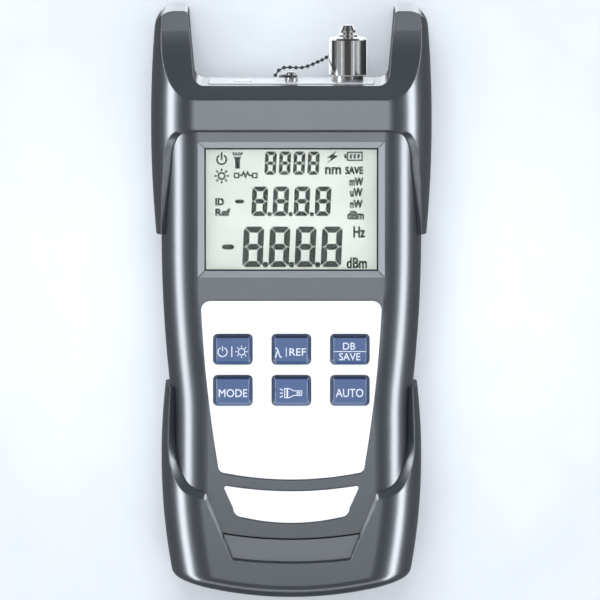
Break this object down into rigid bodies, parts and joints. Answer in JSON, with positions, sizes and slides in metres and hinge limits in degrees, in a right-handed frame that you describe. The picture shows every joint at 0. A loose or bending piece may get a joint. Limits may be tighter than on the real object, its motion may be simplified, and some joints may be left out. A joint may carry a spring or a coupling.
{
  "type": "optical power meter",
  "caption": "Handheld optical power meter with a horned guard round a capped fibre port, a display, a rubber keypad, a lower boot and a battery door.",
  "frame": {"origin": "middle of the footprint, on the surface that the meter's back lies on", "axes": "+Z out of the face with the display and keys, +Y towards the fibre port and horns, +X to the right of someone reading the display"},
  "size_m": [0.0836, 0.175, 0.033],
  "materials": {
    "casing_plastic": "satin grey",
    "guard_plastic": "satin grey",
    "door_plastic": "fine grain",
    "window_glass": "polished",
    "lcd_glass": "polished",
    "light_plastic": "polished",
    "panel_film": "printed film",
    "key_plastic": "satin",
    "mat_rubber": "matt",
    "board_resin": "lacquered",
    "dome_steel": "bright",
    "screw_steel": "zinc",
    "spring_steel": "nickel",
    "port_nickel": "nickel plated",
    "cap_nickel": "nickel plated",
    "sleeve_ceramic": "polished ceramic",
    "can_steel": "bright",
    "panel_steel": "polished",
    "lens_plastic": "clear",
    "cell_jacket": "printed jacket",
    "buzzer_plastic": "matt"
  },
  "bodies": {
    "housing": {"alignment_sleeve": "sleeve_ceramic", "battery_1": "cell_jacket", "battery_2": "cell_jacket", "battery_3": "cell_jacket", "board_screws": "screw_steel", "bottom_boot": "guard_plastic", "buzzer": "buzzer_plastic", "cap_chain": "cap_nickel", "case_screws": "screw_steel", "chain_anchor": "port_nickel", "connector_panel": "panel_steel", "contact_plates": "spring_steel", "contact_springs": "spring_steel", "detector": "can_steel", "display_window": "window_glass", "front_cover": "casing_plastic", "key_switches": "dome_steel", "keypad_mat": "mat_rubber", "keypad_panel": "panel_film", "lcd_backlight": "light_plastic", "lcd_panel": "lcd_glass", "main_board": "board_resin", "nameplate": "panel_film", "port_adapter": "port_nickel", "rear_cover": "casing_plastic", "split_ring": "cap_nickel", "top_guard": "guard_plastic", "torch_led": "lens_plastic", "torch_lens": "lens_plastic"},
    "key_power_cap": {"key_power": "key_plastic"},
    "key_wavelength_cap": {"key_wavelength": "key_plastic"},
    "key_store_cap": {"key_store": "key_plastic"},
    "key_mode_cap": {"key_mode": "key_plastic"},
    "key_torch_cap": {"key_torch": "key_plastic"},
    "key_auto_cap": {"key_auto": "key_plastic"},
    "battery_door": {"battery_cover": "door_plastic"},
    "cap_swivel": {"chain_ring": "cap_nickel"},
    "screw_cap": {"dust_cap": "cap_nickel"}
  },
  "joints": [
    {"name": "key_power_press", "type": "slide", "parent": "housing", "child": "key_power_cap", "axis": [0, 0, -1], "range_m": [0, 0.0008], "stiffness_N_per_m": 1000},
    {"name": "key_wavelength_press", "type": "slide", "parent": "housing", "child": "key_wavelength_cap", "axis": [0, 0, -1], "range_m": [0, 0.0008], "stiffness_N_per_m": 1000},
    {"name": "key_store_press", "type": "slide", "parent": "housing", "child": "key_store_cap", "axis": [0, 0, -1], "range_m": [0, 0.0008], "stiffness_N_per_m": 1000},
    {"name": "key_mode_press", "type": "slide", "parent": "housing", "child": "key_mode_cap", "axis": [0, 0, -1], "range_m": [0, 0.0008], "stiffness_N_per_m": 1000},
    {"name": "key_torch_press", "type": "slide", "parent": "housing", "child": "key_torch_cap", "axis": [0, 0, -1], "range_m": [0, 0.0008], "stiffness_N_per_m": 1000},
    {"name": "key_auto_press", "type": "slide", "parent": "housing", "child": "key_auto_cap", "axis": [0, 0, -1], "range_m": [0, 0.0008], "stiffness_N_per_m": 1000},
    {"name": "battery_cover_swing", "type": "hinge", "parent": "housing", "child": "battery_door", "pos_m": [0, -0.0334, 0.0025], "axis": [-1, 0, 0], "range_deg": [0, 70]},
    {"name": "cap_lift", "type": "slide", "parent": "housing", "child": "cap_swivel", "axis": [0, 1, 0], "range_m": [0, 0.0046], "deforming": ["cap_chain"]},
    {"name": "cap_turn", "type": "hinge", "parent": "cap_swivel", "child": "screw_cap", "pos_m": [0.0168, 0.07, 0.0156], "axis": [0, 1, 0], "range_deg": [0, 2160]}
  ],
  "couplings": [
    {"joint": "cap_lift", "follows": "cap_turn", "m_per_rad": 0.00011937}
  ]
}
